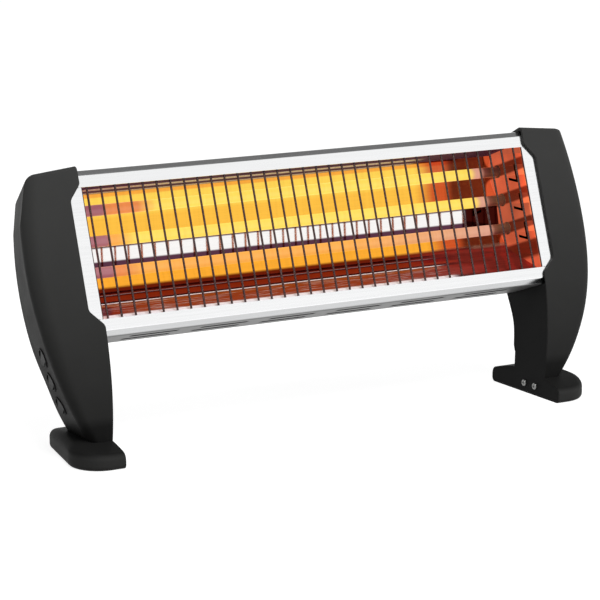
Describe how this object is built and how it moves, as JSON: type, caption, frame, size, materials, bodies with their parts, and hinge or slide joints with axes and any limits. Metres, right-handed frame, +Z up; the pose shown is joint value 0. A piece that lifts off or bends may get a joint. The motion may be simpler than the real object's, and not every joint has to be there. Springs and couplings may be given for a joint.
{
  "type": "quartz heater",
  "caption": "Low floor-standing quartz tube heater: leaning bright trough with reflector and wire guard, moulded side stands with feet and rocker switches on one leg.",
  "frame": {"origin": "on the floor, under the middle of the box that the heater takes up", "axes": "+X along the heater to the right as seen from the front, +Y to its back, +Z up"},
  "size_m": [0.5826, 0.1394, 0.2528],
  "materials": {
    "bright_sheet": "smooth, bright, satin to polished",
    "charcoal_plastic": "fine satin moulded surface",
    "polished_aluminium": "mirror polished",
    "plated_wire": "bright plated wire",
    "white_ceramic": "dull, slightly warm white",
    "terminal_brass": "plain turned metal",
    "screw_steel": "zinc plated",
    "black_rubber": "dull",
    "frosted_quartz": "milky quartz, lit from inside",
    "glowing_coil": "resistance wire at working heat",
    "black_plastic": "satin",
    "black_gloss_plastic": "gloss"
  },
  "bodies": {
    "heater": {"casing": "bright_sheet", "left_end_plate": "bright_sheet", "right_end_plate": "bright_sheet", "left_side_stand": "charcoal_plastic", "right_side_stand": "charcoal_plastic", "left_inner_cover": "charcoal_plastic", "right_inner_cover": "charcoal_plastic", "reflector": "polished_aluminium", "guard_wires": "plated_wire", "guard_rods": "plated_wire", "left_tube_caps": "white_ceramic", "right_tube_caps": "white_ceramic", "left_terminals": "terminal_brass", "right_terminals": "terminal_brass", "cover_screws": "screw_steel", "rear_screws": "screw_steel", "cord_grommet": "black_rubber", "upper_quartz_tube": "frosted_quartz", "upper_heating_coil": "glowing_coil", "upper_switch_housing": "black_plastic", "middle_quartz_tube": "frosted_quartz", "middle_heating_coil": "glowing_coil", "middle_switch_housing": "black_plastic", "lower_quartz_tube": "frosted_quartz", "lower_heating_coil": "glowing_coil", "lower_switch_housing": "black_plastic"},
    "upper_rocker": {"upper_rocker": "black_gloss_plastic"},
    "middle_rocker": {"middle_rocker": "black_gloss_plastic"},
    "lower_rocker": {"lower_rocker": "black_gloss_plastic"}
  },
  "joints": [
    {"name": "upper_rocker_tilt", "type": "hinge", "parent": "heater", "child": "upper_rocker", "pos_m": [-0.27766, -0.01299, 0.09291], "axis": [-0.1388, -0.9903, 0], "range_deg": [0, 22]},
    {"name": "middle_rocker_tilt", "type": "hinge", "parent": "heater", "child": "middle_rocker", "pos_m": [-0.27143, -0.0153, 0.07146], "axis": [-0.1024, -0.9947, 0], "range_deg": [0, 22]},
    {"name": "lower_rocker_tilt", "type": "hinge", "parent": "heater", "child": "lower_rocker", "pos_m": [-0.26295, -0.01565, 0.04932], "axis": [-0.0645, -0.9979, 0], "range_deg": [0, 22]}
  ]
}
